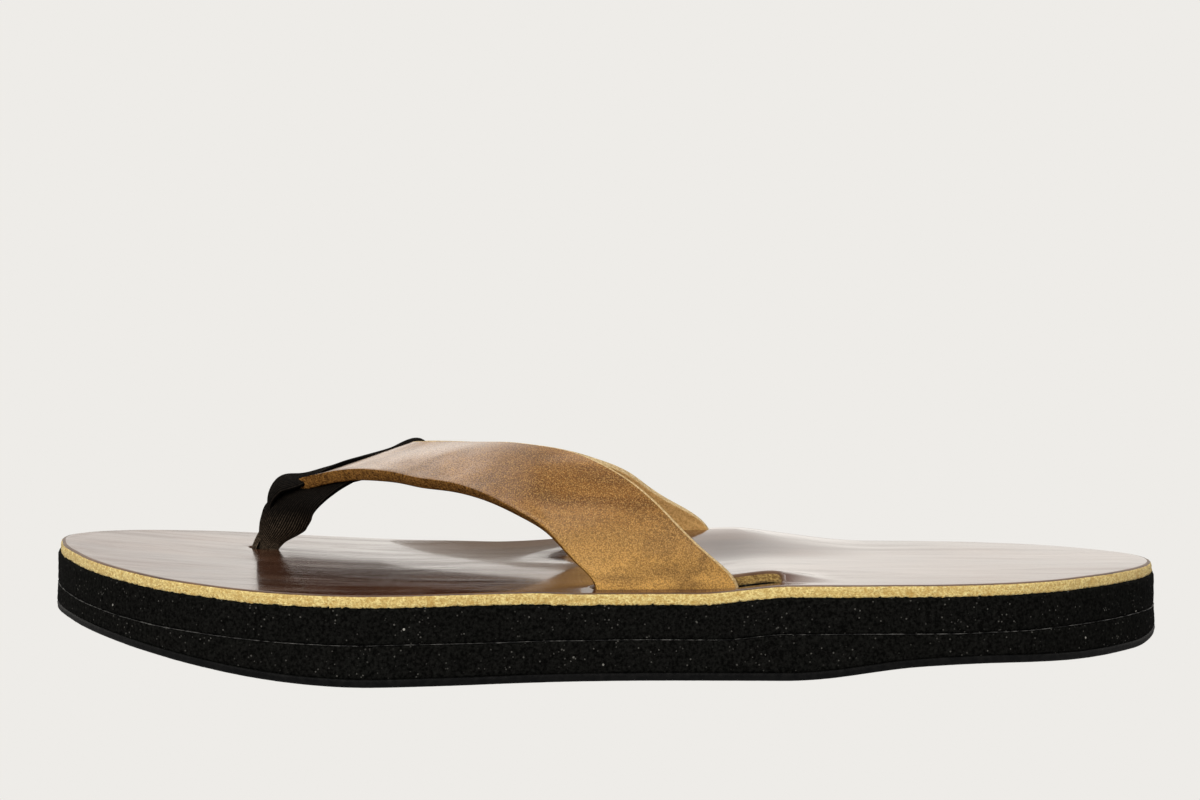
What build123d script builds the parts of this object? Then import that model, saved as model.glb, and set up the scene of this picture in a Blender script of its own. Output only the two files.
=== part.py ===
from build123d import *
import os
from math import atan2, degrees

# A left-foot leather flip flop. Millimetres, +Z up, sole standing on Z = 0.
# The toe points along -X, the heel along +X. The outer (little toe) side is -Y
# and the inner (arch) side is +Y.

# ---- driving dimensions -------------------------------------------------
LENGTH = 280.0             # toe tip to heel tip, about EU 43
WIDTH = 105.0              # across the ball of the foot
OUTSOLE_T = 1.8            # thin wear sheet
LOWER_T = 7.2              # lower foam sheet
UPPER_T = 8.0              # upper foam sheet, without the arch bump
LEATHER_T = 2.6            # footbed leather
STRAP_T = 2.4              # strap leather
WEB_T = 1.4                # webbing thickness
FOAM_PROUD = 0.5           # foam stands this far outside the leather edge

TOE_SPRING = 6.0           # rise of the footbed at the toe tip
TOE_SPRING_START = -50.0
TOE_SPRING_POWER = 1.6     # above 1: the rise steepens towards the tip
TOE_ROCKER = 8.2           # rise of the underside at the toe
TOE_ROCKER_START = -48.0
TOE_ROCKER_RUN = 92.0
HEEL_LIFT = 1.2            # the back half of the footbed and seam sits this much higher
HEEL_LIFT_START = 26.0
HEEL_LIFT_RUN = 16.0
HEEL_RISE = 2.1            # the underside leaves the ground behind the arch
HEEL_RISE_START = 40.0
HEEL_RISE_RUN = 30.0
HEEL_HOLLOW = 1.3          # shallow hollow worn across the front of the heel
HEEL_HOLLOW_CENTRE = 84.0
HEEL_HOLLOW_HALF_LENGTH = 36.0
HEEL_BEVEL = 1.6           # underside cut away at the back edge
HEEL_BEVEL_START = 128.0
HEEL_BEVEL_RUN = 14.0
ARCH_RISE = 4.8            # moulded arch bump on the inner side
ARCH_CENTRE = 26.0
ARCH_HALF_LENGTH = 58.0
ARCH_FROM = -2.0           # the bump starts at this Y
ARCH_RAMP = 32.0           # and reaches its full height this much further in

SEAM_Z = OUTSOLE_T + LOWER_T
FLAT_FROM = TOE_ROCKER_START       # every layer is level between these two
FLAT_TO = HEEL_LIFT_START

# Slots for the strap: front and back ends of the strap where it passes
# through, and how far the open slot runs on behind it.
OUTER_SLOT = (Vector(-2.5, -40.3), Vector(30.5, -39.0))
INNER_SLOT = (Vector(-4.0, 33.8), Vector(29.5, 30.6))
SLOT_TAIL = 8.5
SLOT_W = STRAP_T + 1.0
TAB_LENGTH = 18.0          # strap end turned in between the foam sheets
TAB_GAP = 0.1              # room above a turned-in strap end
POCKET_GAP = 0.3           # room round it
FOLD_R = 0.8               # inside radius where a strap end turns in
STRAP_RISE = 0.4           # the strap's ends stand straight to this height over the leather
ARM_STATIONS = 22          # cross-sections along each arm
ARM_TURN = 1.6             # each arm lies down flat within 1 / 1.6 of its length
WEB_GAP = 0.2              # room above and below the webbing ends
WEB_WRAP = 0.15            # webbing's distance from the flat of the strap
WEB_TURN = 0.3             # and from the strap's nose and notch, where it turns round them
THONG_POCKET = (52, 17)    # length and width of the webbing's recess

HOLE = Vector(-90.5, 19.0)         # toe hole
HOLE_D = 7.6
NOSE = Vector(-80.0, 17.0, 38.2)   # front tip of the strap, mid thickness
NOTCH = Vector(-49.0, 10.5, 48.4)  # bottom of the V between the arms

OVERRUN = 10.0             # cutting surfaces run this far past the sole
BLOCK_LOW, BLOCK_HIGH = -10.0, 50.0
SHEET_X, SHEET_Y, SHEET_STEP = 156, 66, 6


def smooth(t):
    """0 below t = 0, 1 above t = 1, and a smooth ramp between."""
    t = min(1.0, max(0.0, t))
    return t * t * (3 - 2 * t)


# ---- heights of the layers ----------------------------------------------
def spring(x):
    """Rise that every layer shares: toe spring and heel lift."""
    toe = max(0.0, (TOE_SPRING_START - x) / (LENGTH / 2 + TOE_SPRING_START))
    return TOE_SPRING * toe ** TOE_SPRING_POWER + HEEL_LIFT * smooth((x - HEEL_LIFT_START) / HEEL_LIFT_RUN)


def arch(x, y):
    """Arch bump of the upper foam and the leather on it."""
    along = smooth(1 - abs(x - ARCH_CENTRE) / ARCH_HALF_LENGTH)
    return ARCH_RISE * along * smooth((y - ARCH_FROM) / ARCH_RAMP)


def underside(x):
    """Underside of the outsole: level in the middle, rising at toe and heel."""
    rocker = TOE_ROCKER * smooth((TOE_ROCKER_START - x) / TOE_ROCKER_RUN)
    rise = HEEL_RISE * smooth((x - HEEL_RISE_START) / HEEL_RISE_RUN)
    hollow = HEEL_HOLLOW * smooth(1 - abs(x - HEEL_HOLLOW_CENTRE) / HEEL_HOLLOW_HALF_LENGTH)
    bevel = HEEL_BEVEL * smooth((x - HEEL_BEVEL_START) / HEEL_BEVEL_RUN)
    return rocker + rise + hollow + bevel


def outsole_top(x):
    return underside(x) + OUTSOLE_T


def seam(x):
    return SEAM_Z + spring(x)


def pocket_floor(x):
    return seam(x) - WEB_T - 2 * WEB_GAP


def above_seam(x):
    """Clear of the lower foam's top, for cutting a recess into it."""
    return seam(x) + 1


def floor_below(x):
    """Clear of the underside of every block."""
    return BLOCK_LOW - 2


def foam_top(x, y):
    return SEAM_Z + UPPER_T + spring(x) + arch(x, y)


def footbed_top(x, y):
    return foam_top(x, y) + LEATHER_T


# ---- outline --------------------------------------------------------------
def outline():
    """Edge of the foam seen from above, an anatomical left sole."""
    points = [
        (-140.0, 10), (-132, -9.5), (-110, -33.5), (-78, -49.5), (-45, -52.5),
        (-12, -47.5), (30, -46), (66, -46), (96, -41), (120, -26.5), (136, -10), (140, 4), (131, 22),
        (105, 36), (70, 39.5), (25, 38.8), (-10, 43.5), (-45, 50.5), (-78, 52.5),
        (-110, 46.5), (-132, 30),
    ]
    face = make_face(Spline(*points, periodic=True).edges())
    box = face.bounding_box()
    face = face.moved(Location(-box.center()))
    return scale(face, by=(LENGTH / box.size.X, WIDTH / box.size.Y, 1))


def prism(shape):
    """Tall block over and under the whole sole, to be cut into layers."""
    block = Solid.extrude(shape.face(), Vector(0, 0, BLOCK_HIGH - BLOCK_LOW))
    return block.moved(Location((0, 0, BLOCK_LOW)))


def height_edges(height):
    """A height along X, past both ends of the sole: curved, straight, curved."""
    reach = LENGTH / 2 + OVERRUN
    spans = ((-reach, FLAT_FROM, 12), (FLAT_TO, reach, 16))
    curves = []
    for start, end, steps in spans:
        xs = [start + (end - start) * i / steps for i in range(steps + 1)]
        slopes = [Vector(0.1, 0, height(x + 0.05) - height(x - 0.05)) for x in (start, end)]
        curves.append(Spline(*[(x, 0, height(x)) for x in xs], tangents=slopes))
    return [curves[0], Line(curves[0] @ 1, curves[1] @ 0), curves[1]]


def slab(bottom, top):
    """Full-width slab between two heights that depend on X alone."""
    low, high = height_edges(bottom), height_edges(top)
    ends = [Line(low[0] @ 0, high[0] @ 0), Line(low[-1] @ 1, high[-1] @ 1)]
    section = Face(Wire([*low, ends[1], *high, ends[0]]))
    return Solid.extrude(section.moved(Location((0, -WIDTH, 0))), Vector(0, 2 * WIDTH, 0))


def top_sheet():
    """Smooth face over the whole sole at the top of the foam, arch bump included."""
    xs = range(-SHEET_X, SHEET_X + 1, SHEET_STEP)
    ys = range(-SHEET_Y, SHEET_Y + 1, SHEET_STEP)
    grid = [[Vector(x, y, foam_top(x, y)) for x in xs] for y in ys]
    return Face.make_surface_from_array_of_points(grid, tol=0.005)


# ---- slots, pockets and the toe hole -------------------------------------
def slot_frame(ends, z):
    """Plane at a slot's middle: X along the slot, Y towards the foot."""
    front, back = ends
    middle = (front + back) / 2
    inward = 1 if middle.Y < 0 else -1
    along = (back - front) * inward
    return Plane(Vector(middle.X, middle.Y, z), x_dir=along, z_dir=(0, 0, 1)), inward


def slot(ends):
    """Stadium-shaped slot, longer at the back than the strap is wide."""
    frame, sign = slot_frame(ends, 0)
    width = (ends[1] - ends[0]).length
    length = width + SLOT_W + SLOT_TAIL
    shift = Pos(sign * SLOT_TAIL / 2, 0)
    return frame * shift * SlotOverall(length, SLOT_W)


def tab_pocket(ends):
    """Recess in the top of the lower foam for the strap's turned-in end."""
    frame, _ = slot_frame(ends, SEAM_Z)
    width = (ends[1] - ends[0]).length + 2 * POCKET_GAP
    reach = TAB_LENGTH + STRAP_T / 2 + 2 * POCKET_GAP
    depth = STRAP_T + TAB_GAP + POCKET_GAP
    inner = Box(width, reach, depth + 1, align=(Align.CENTER, Align.MIN, Align.MAX))
    return frame * Pos(0, -STRAP_T / 2 - POCKET_GAP, 1) * inner


# ---- strap ----------------------------------------------------------------
def strap_foot(ends, top_z):
    """The strap's end: straight down through the slot, then turned inwards."""
    frame, _ = slot_frame(ends, 0)
    half = STRAP_T / 2
    low = SEAM_Z - TAB_GAP - STRAP_T
    corners = [
        (-half, top_z), (-half, low), (TAB_LENGTH, low),
        (TAB_LENGTH, low + STRAP_T), (half, low + STRAP_T), (half, top_z),
    ]
    profile = make_face(Polyline(*corners, close=True))
    for corner, radius in (((-half, low), STRAP_T), ((half, low + STRAP_T), FOLD_R)):
        profile = fillet(profile.vertices().sort_by_distance(corner)[0], radius)
    width = (ends[1] - ends[0]).length
    side = Plane(frame.origin, x_dir=frame.y_dir, z_dir=frame.x_dir)
    return extrude(side * profile, amount=width / 2, both=True)


def station(front, back, out):
    """Rectangular cross-section of the strap between its two edges."""
    across = (back - front).normalized()
    normal = (out - across * out.dot(across)).normalized() * (STRAP_T / 2)
    return Wire.make_polygon([front + normal, back + normal, back - normal, front - normal])


def strap_arm(front_points, back_points, start_out, end_out, root):
    """Stations from a slot up to the bridge, where both edges run along root."""
    front_edge = Spline(*front_points, tangents=[(0, 0, 1), root])
    back_edge = Spline(*back_points, tangents=[(0, 0, 1), root])
    stations = []
    for i in range(ARM_STATIONS + 1):
        u = i / ARM_STATIONS
        turn = smooth(u * ARM_TURN)
        out = start_out * (1 - turn) + end_out * turn
        stations.append((front_edge @ u, back_edge @ u, out))
    return stations


def strap_solid():
    """One piece of leather: outer arm, bridge, inner arm and both feet."""
    outer_top = footbed_top(OUTER_SLOT[0].X, OUTER_SLOT[0].Y) + STRAP_RISE
    inner_top = footbed_top(INNER_SLOT[1].X, INNER_SLOT[1].Y) + STRAP_RISE
    across = Vector(0.2, 1, 0.0)
    outer = strap_arm(
        [(OUTER_SLOT[0].X, OUTER_SLOT[0].Y, outer_top), (-8, -38.8, 28), (-16, -35, 34),
         (-28, -27, 39), (-43, -16, 41.2), (-57, -4, 42.6), (-70, 6.5, 40.6),
         (-77.5, 11.5, 38.8), (NOSE.X, NOSE.Y, NOSE.Z)],
        [(OUTER_SLOT[1].X, OUTER_SLOT[1].Y, outer_top), (20.5, -38.6, 32.5), (9.5, -34.5, 43.4),
         (-1, -27.5, 48), (-14, -19, 49.8), (-30, -7.5, 49.8), (-43, 2.5, 49),
         (NOTCH.X, NOTCH.Y, NOTCH.Z)],
        Vector(0, -1, 0), Vector(-0.25, 0, 1), across)
    inner = strap_arm(
        [(INNER_SLOT[0].X, INNER_SLOT[0].Y, inner_top), (-11, 33.2, 27.6), (-22, 31, 32),
         (-41, 27, 37), (-58, 27, 40), (-70, 25.5, 40), (-77.5, 22, 38.8),
         (NOSE.X, NOSE.Y, NOSE.Z)],
        [(INNER_SLOT[1].X, INNER_SLOT[1].Y, inner_top), (24, 30.4, 33), (14, 29, 39.5),
         (3, 26, 44), (-11, 21.8, 47), (-30, 18, 48.6), (-43, 17, 48.8),
         (NOTCH.X, NOTCH.Y, NOTCH.Z)],
        Vector(0, 1, 0), Vector(-0.25, 0, 1), -across)
    stations = outer + inner[-2::-1]
    arms = Solid.make_loft([station(*s) for s in stations], ruled=True)
    outer_foot = strap_foot(OUTER_SLOT, outer_top)
    inner_foot = strap_foot(INNER_SLOT, inner_top)
    return (arms + outer_foot + inner_foot).solid()


# ---- toe thong ------------------------------------------------------------
def toe_thong():
    """Webbing loop round the strap's bridge, both ends down the toe hole."""
    run = Vector(NOTCH.X - HOLE.X, NOTCH.Y - HOLE.Y)
    heading = run.normalized()
    side = Vector(-heading.Y, heading.X)
    rise = (NOTCH - NOSE).normalized()
    up = Vector(0, 0, 1)
    lift = (up - rise * up.dot(rise)).normalized() * (STRAP_T / 2 + WEB_T / 2 + WEB_WRAP)

    def at(s, z):
        return Vector(HOLE.X, HOLE.Y) + heading * s + up * z

    def laid(s, above=0.0):
        return at(s, seam(HOLE.X + heading.X * s) - WEB_GAP - WEB_T / 2 + above)

    nose_out = NOSE - rise * (WEB_T / 2 + WEB_TURN)
    notch_out = NOTCH + rise * (WEB_T / 2 + WEB_TURN)
    # centre of the band, and its width there
    route = [
        (laid(-24), 15), (laid(-14), 15), (laid(-5), 13), (laid(-1.9, 0.2), 6),
        (laid(-1.0, 3), 5.2), (at(-1.0, 20), 5.2), (at(-0.8, 24), 7),
        (at(0.4, 29), 12), (at(1.0, 33), 15), (at(3.0, 37), 16),
        (nose_out + up * 0.6 - heading * 2.6, 16),
        (NOSE + lift + up * 0.4, 16), (NOSE * 0.5 + NOTCH * 0.5 + lift, 15),
        (NOTCH + lift - rise * 1.0, 10), (notch_out + up * 0.6, 9),
        (notch_out - up * 1.2, 9), (NOTCH - lift - rise * 1.5, 10),
        (NOSE * 0.5 + NOTCH * 0.5 - lift, 15), (NOSE * 0.9 + NOTCH * 0.1 - lift - up * 1.0, 15),
        (at(9.5, 30), 12), (at(4.5, 25), 7.5), (at(1.0, 20), 5.2), (laid(1.0, 3), 5.2),
        (laid(1.9, 0.2), 6), (laid(5), 13), (laid(14), 15), (laid(24), 15),
    ]
    sections = []
    for i, (centre, width) in enumerate(route):
        before = route[max(0, i - 1)][0]
        after = route[min(len(route) - 1, i + 1)][0]
        normal = side.cross(after - before).normalized() * (WEB_T / 2)
        half = side * (width / 2)
        corners = [centre + half + normal, centre - half + normal,
                   centre - half - normal, centre + half - normal]
        sections.append(Wire.make_polygon(corners))
    return Solid.make_loft(sections, ruled=True), heading


def thong_pocket(heading):
    """Recess in the lower foam for the two webbing ends under the toe hole."""
    angle = degrees(atan2(heading.Y, heading.X))
    footprint = Location((HOLE.X, HOLE.Y, 0), (0, 0, angle)) * Rectangle(*THONG_POCKET)
    return prism(footprint) & slab(pocket_floor, above_seam)


# ---- build ----------------------------------------------------------------
def main():
    os.makedirs("parts", exist_ok=True)
    foam = outline()
    leather = offset(foam, amount=-FOAM_PROUD)
    cuts = [slot(OUTER_SLOT), slot(INNER_SLOT), Pos(HOLE.X, HOLE.Y) * Circle(HOLE_D / 2)]
    top = top_sheet()

    outsole = prism(foam) & slab(underside, outsole_top)
    lower = prism(foam) & slab(outsole_top, seam)
    upper = prism(foam - cuts) - slab(floor_below, seam) - Solid.extrude(top, Vector(0, 0, 80))
    footbed = Solid.extrude((prism(leather - cuts) & top).face(), Vector(0, 0, LEATHER_T))
    thong, heading = toe_thong()

    parts = {
        "outsole": outsole,
        "lower_midsole": lower - tab_pocket(OUTER_SLOT) - tab_pocket(INNER_SLOT)
        - thong_pocket(heading),
        "upper_midsole": upper,
        "footbed": footbed,
        "strap": strap_solid(),
        "toe_thong": thong,
    }
    for name, solid in parts.items():
        export_step(solid, f"parts/{name}.step")


main()
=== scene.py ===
"""A left-foot leather flip flop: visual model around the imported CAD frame. Metres."""
import math

import bmesh
import bpy
import numpy as np
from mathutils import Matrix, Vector
from mathutils.geometry import delaunay_2d_cdt


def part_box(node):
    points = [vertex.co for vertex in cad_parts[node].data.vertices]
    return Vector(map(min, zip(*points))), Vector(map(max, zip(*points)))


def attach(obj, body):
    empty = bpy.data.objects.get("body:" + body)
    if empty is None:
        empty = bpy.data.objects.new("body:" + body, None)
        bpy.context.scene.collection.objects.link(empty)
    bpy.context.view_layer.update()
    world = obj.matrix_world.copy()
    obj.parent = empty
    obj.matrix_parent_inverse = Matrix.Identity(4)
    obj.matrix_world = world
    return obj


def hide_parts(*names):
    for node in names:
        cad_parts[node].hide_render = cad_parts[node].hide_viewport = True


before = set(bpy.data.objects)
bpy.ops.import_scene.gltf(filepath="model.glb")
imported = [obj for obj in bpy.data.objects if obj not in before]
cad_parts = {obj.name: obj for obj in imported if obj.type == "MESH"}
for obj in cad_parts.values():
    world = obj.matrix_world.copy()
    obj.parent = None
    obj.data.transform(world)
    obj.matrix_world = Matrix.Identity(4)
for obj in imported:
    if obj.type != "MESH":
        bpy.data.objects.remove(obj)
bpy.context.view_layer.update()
MM = 0.001
BODY = "root"

# ---- driving sizes, millimetres ---------------------------------------------------
# Sheets and pockets are the CAD model's. The openings are drawn a little tighter than there, because
# nothing has to be put together here, and the arch and the strap follow the real run a little closer.
OUTSOLE_T, LOWER_T, UPPER_T, LEATHER_T = 1.8, 7.2, 8.0, 2.6
STRAP_T, WEB_T = 2.4, 1.4
FOAM_PROUD = 0.5
SEAM_Z = OUTSOLE_T + LOWER_T
LENGTH = 280.0
TOE_SPRING, TOE_SPRING_START, TOE_SPRING_POWER = 6.0, -50.0, 1.6
TOE_ROCKER, TOE_ROCKER_START, TOE_ROCKER_RUN = 8.2, -48.0, 92.0
HEEL_LIFT, HEEL_LIFT_START, HEEL_LIFT_RUN = 1.2, 26.0, 16.0
HEEL_RISE, HEEL_RISE_START, HEEL_RISE_RUN = 2.1, 40.0, 30.0
HEEL_HOLLOW, HEEL_HOLLOW_CENTRE, HEEL_HOLLOW_HALF_LENGTH = 1.3, 84.0, 36.0
HEEL_BEVEL, HEEL_BEVEL_START, HEEL_BEVEL_RUN = 1.6, 128.0, 14.0
ARCH_RISE, ARCH_CENTRE, ARCH_TO_TOE, ARCH_TO_HEEL = 4.8, 26.0, 58.0, 50.0
ARCH_FROM, ARCH_RAMP = -2.0, 32.0
HOLE = np.array([-90.5, 19.0])
HOLE_R = 3.3
SLOTS = {
    "outer": (np.array([-0.9, -40.3]), np.array([30.5, -39.0])),
    "inner": (np.array([-4.0, 33.8]), np.array([29.5, 30.6])),
}
SLOT_TAIL, SLOT_W, SLOT_FRONT_INSET = 8.5, STRAP_T + 1.0, 0.9
TAB_LENGTH, TAB_SUNK, POCKET_GAP, WEB_GAP = 18.0, 0.1, 0.3, 0.2
# the strap lifts the sheets along the inner side of its slots and presses them down along the outer side
PULL_LIFT = {"outer": 2.3, "inner": 0.5}
PULL_LEAD, PULL_LEAD_RAMP = 12.0, 48.0
PULL_TRAIL, PULL_TRAIL_RAMP = 24.0, 18.0
PULL_EDGE, PULL_FLAT, PULL_FADE = 1.5, 2.0, 8.0
DIP_SHARE, DIP_REACH = 0.2, 5.0
DIP_LEAD, DIP_LEAD_RAMP, DIP_TRAIL_RAMP = 14.0, 12.0, 10.0
THONG_POCKET = (52.0, 17.0)
WEB_HEADING = np.array([41.5, -8.5]) / 42.36      # from the toe hole towards the strap's notch
TREAD_PITCH, TREAD_DEPTH, TREAD_MARGIN = 6.0, 0.7, 5.0
TREAD_FROM, TREAD_TO, TREAD_HALF_SPAN, TREAD_STEP = -132.0, 133.0, 50.0, 3.0
TREAD_WAVE, TREAD_WAVE_RUN = 1.5, 5.5
# one groove in section: how far before or behind its middle, and its share of the depth
TREAD_SECTION = [(-0.95, 0.0), (-0.5, 1.0), (0.5, 1.0), (0.95, 0.0)]

NOSE = np.array([-80.0, 17.0, 38.2])
NOTCH = np.array([-49.0, 10.5, 48.4])

# Strap, slot to nose to slot: front edge and back edge of the leather.
STRAP_ROWS = [
    ((-0.9, -40.3, 20.0), (30.5, -39.0, 20.0)),
    ((-5.2, -39.8, 25.0), (24.4, -39.4, 26.6)),
    ((-10.0, -38.0, 30.0), (17.3, -38.0, 33.4)),
    ((-16.5, -34.5, 34.5), (8.6, -34.2, 41.2)),
    ((-28.0, -27.0, 39.0), (-2.0, -28.0, 46.9)),
    ((-43.0, -16.0, 41.2), (-16.0, -18.0, 49.6)),
    ((-57.0, -4.5, 42.4), (-31.0, -6.5, 49.9)),
    ((-69.0, 5.5, 41.0), (-42.0, 2.0, 49.3)),
    ((-77.0, 11.0, 39.0), (-47.3, 6.5, 48.8)),
    (NOSE, NOTCH),
    ((-77.0, 22.5, 39.0), (-47.2, 14.2, 48.6)),
    ((-69.0, 26.0, 40.2), (-41.5, 16.6, 48.7)),
    ((-56.0, 27.5, 40.2), (-29.0, 18.6, 48.5)),
    ((-40.0, 27.5, 37.0), (-13.0, 21.5, 47.2)),
    ((-25.0, 30.0, 32.6), (-1.0, 25.0, 44.2)),
    ((-15.0, 32.4, 29.0), (8.9, 28.0, 39.7)),
    ((-8.0, 33.6, 26.0), (18.8, 29.8, 32.8)),
    ((-4.0, 33.8, 22.5), (29.9, 30.6, 24.8)),
]


# ---- small tools --------------------------------------------------------------
def smooth(t):
    t = np.clip(t, 0.0, 1.0)
    return t * t * (3 - 2 * t)


def unit(v):
    return v / np.maximum(np.linalg.norm(v, axis=-1, keepdims=True), 1e-9)


def travel(points):
    """Distance covered along a row of points."""
    return np.concatenate([[0], np.cumsum(np.linalg.norm(np.diff(points, axis=0), axis=1))])


def even_loop(row, count):
    """Points evenly spaced along a row that ends where it starts."""
    run = travel(row)
    even = np.linspace(0, run[-1], count + 1)[:-1]
    return np.stack([np.interp(even, run, row[:, k]) for k in range(2)], axis=1)


def closed_curve(points, count):
    """Smooth closed curve through the points, evenly spaced along its length."""
    p = np.vstack([points, points[:1]]).astype(float)
    t = travel(p)
    return even_loop(cubic(t, p, np.linspace(0, t[-1], count * 4), closed=True), count)


def resample(loop, step):
    """Closed loop with points about a step apart."""
    row = np.vstack([loop, loop[:1]])
    return even_loop(row, max(12, int(travel(row)[-1] / step)))


def cubic(t, p, x, closed=False):
    """Cubic spline through values p at t, read at x: natural ends, or periodic."""
    n = len(t)
    h = np.diff(t)
    a = np.zeros((n, n))
    b = np.zeros((n, p.shape[1]))
    slope = np.diff(p, axis=0) / h[:, None]
    for i in range(1, n - 1):
        a[i, i - 1], a[i, i], a[i, i + 1] = h[i - 1], 2 * (h[i - 1] + h[i]), h[i]
        b[i] = 6 * (slope[i] - slope[i - 1])
    if closed:
        a[0, 0], a[0, 1], a[0, n - 2] = 2 * (h[-1] + h[0]), h[0], h[-1]
        b[0] = 6 * (slope[0] - slope[-1])
        a[n - 1, 0], a[n - 1, n - 1] = 1, -1
    else:
        a[0, 0] = a[n - 1, n - 1] = 1
    m = np.linalg.solve(a, b)
    k = np.clip(np.searchsorted(t, x) - 1, 0, n - 2)
    d0, d1, hk = (x - t[k])[:, None], (t[k + 1] - x)[:, None], h[k][:, None]
    return (m[k] * d1**3 + m[k + 1] * d0**3) / (6 * hk) \
        + (p[k] / hk - m[k] * hk / 6) * d1 + (p[k + 1] / hk - m[k + 1] * hk / 6) * d0


def waves(x, y, seed, count=9, low=0.5, high=2.0):
    """Smooth seeded noise, about -1 to 1: a sum of sines at random angles."""
    rng = np.random.default_rng(seed)
    total = np.zeros(np.broadcast(x, y).shape)
    for _ in range(count):
        angle, size = rng.uniform(0, math.tau), rng.uniform(low, high)
        phase = rng.uniform(0, math.tau)
        total = total + np.sin((x * math.cos(angle) + y * math.sin(angle)) * size + phase)
    return total / math.sqrt(count)


def new_object(name, verts, faces, replaces, mats, face_mats):
    """Mesh object from millimetre vertices, faces outwards, riding on the body."""
    mesh = bpy.data.meshes.new(name)
    mesh.from_pydata([tuple(v) for v in np.asarray(verts) * MM], [], [list(f) for f in faces])
    for material in mats:
        mesh.materials.append(material)
    mesh.polygons.foreach_set("material_index", face_mats)
    mesh.polygons.foreach_set("use_smooth", [True] * len(mesh.polygons))
    mesh.update()
    clean(mesh)
    obj = bpy.data.objects.new(name, mesh)
    bpy.context.scene.collection.objects.link(obj)
    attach(obj, BODY)
    if replaces:
        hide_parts(*replaces)


def clean(mesh):
    """Drops loose vertices and turns every face outwards."""
    bm = bmesh.new()
    bm.from_mesh(mesh)
    bmesh.ops.delete(bm, geom=[v for v in bm.verts if not v.link_faces], context="VERTS")
    bmesh.ops.recalc_face_normals(bm, faces=bm.faces)
    bm.to_mesh(mesh)
    bm.free()


def loft(rings):
    """Quads between equal closed rings, and a fan of triangles over each end."""
    n, rows = len(rings[0]), len(rings)
    verts = np.vstack(rings)
    faces = []
    for a in range(0, (rows - 1) * n, n):
        faces += [(a + j, a + (j + 1) % n, a + n + (j + 1) % n, a + n + j) for j in range(n)]
    for row, flip in ((0, True), (rows - 1, False)):
        middle = len(verts)
        verts = np.vstack([verts, rings[row].mean(axis=0)])
        for j in range(n):
            tri = (row * n + j, row * n + (j + 1) % n, middle)
            faces.append(tri[::-1] if flip else tri)
    return verts, faces


# ---- heights of the sheets ----------------------------------------------------
def spring(x):
    toe = np.maximum(0.0, (TOE_SPRING_START - x) / (LENGTH / 2 + TOE_SPRING_START))
    return TOE_SPRING * toe**TOE_SPRING_POWER + HEEL_LIFT * smooth((x - HEEL_LIFT_START) / HEEL_LIFT_RUN)


def arch(x, y):
    half = np.where(x < ARCH_CENTRE, ARCH_TO_TOE, ARCH_TO_HEEL)
    along = smooth(1 - np.abs(x - ARCH_CENTRE) / half)
    return ARCH_RISE * along * smooth((y - ARCH_FROM) / ARCH_RAMP)


def underside(x):
    rocker = TOE_ROCKER * smooth((TOE_ROCKER_START - x) / TOE_ROCKER_RUN)
    rise = HEEL_RISE * smooth((x - HEEL_RISE_START) / HEEL_RISE_RUN)
    hollow = HEEL_HOLLOW * smooth(1 - np.abs(x - HEEL_HOLLOW_CENTRE) / HEEL_HOLLOW_HALF_LENGTH)
    bevel = HEEL_BEVEL * smooth((x - HEEL_BEVEL_START) / HEEL_BEVEL_RUN)
    return rocker + rise + hollow + bevel


def seam(x):
    return SEAM_Z + spring(x)


def slot_axes(ends):
    """A slot's own direction, and the one across it towards the foot's middle line."""
    front, back = ends
    along = unit(back - front)
    inward = np.array([-along[1], along[0]])
    return along, inward * -np.sign(np.dot(inward, (front + back) / 2))


def pull(x, y):
    """How far the strap lifts the sheets inside each slot and dips them outside it."""
    total = 0.0
    for name, lift in PULL_LIFT.items():
        front, back = SLOTS[name]
        length = np.linalg.norm(back - front)
        along, inward = slot_axes(SLOTS[name])
        s = (x - front[0]) * along[0] + (y - front[1]) * along[1]
        w = (x - front[0]) * inward[0] + (y - front[1]) * inward[1]
        run = smooth((s + PULL_LEAD) / PULL_LEAD_RAMP) * smooth((length + PULL_TRAIL - s) / PULL_TRAIL_RAMP)
        fade = np.exp(-(np.maximum(w - PULL_FLAT, 0) / PULL_FADE) ** 2)
        rise = run * smooth((w + PULL_EDGE) / (2 * PULL_EDGE)) * fade
        dip = DIP_SHARE * smooth((s + DIP_LEAD) / DIP_LEAD_RAMP) * smooth((length - s) / DIP_TRAIL_RAMP)
        total = total + lift * (rise - dip * smooth(-w / DIP_REACH))
    return total


def foam_top(x, y):
    return SEAM_Z + UPPER_T + spring(x) + arch(x, y) + pull(x, y)


def footbed_top(x, y):
    return foam_top(x, y) + LEATHER_T


OUTLINE = [
    (-140.0, 10), (-132, -9.5), (-110, -33.5), (-78, -49.5), (-45, -52.5),
    (-12, -47.5), (30, -46), (66, -46), (96, -41), (120, -26.5), (136, -10), (140, 4), (131, 22),
    (105, 36), (70, 39.5), (25, 38.8), (-10, 43.5), (-45, 50.5), (-78, 52.5),
    (-110, 46.5), (-132, 30),
]


def outline(count):
    """The foam's edge seen from above, fitted to the CAD node's box."""
    ring = closed_curve(OUTLINE, count)
    low, high = (np.array(c)[:2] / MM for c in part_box("upper_midsole"))
    ring = ring - (ring.max(axis=0) + ring.min(axis=0)) / 2
    ring = ring * (high - low) / (ring.max(axis=0) - ring.min(axis=0))
    return ring + (high + low) / 2


def outward(ring):
    """Unit normals of a closed ring, pointing away from the sole."""
    along = unit(np.roll(ring, -1, axis=0) - np.roll(ring, 1, axis=0))
    normal = np.stack([along[:, 1], -along[:, 0]], axis=1)
    away = ring - ring.mean(axis=0)
    return normal * np.sign(np.sum(normal * away, axis=1).mean())


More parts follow.
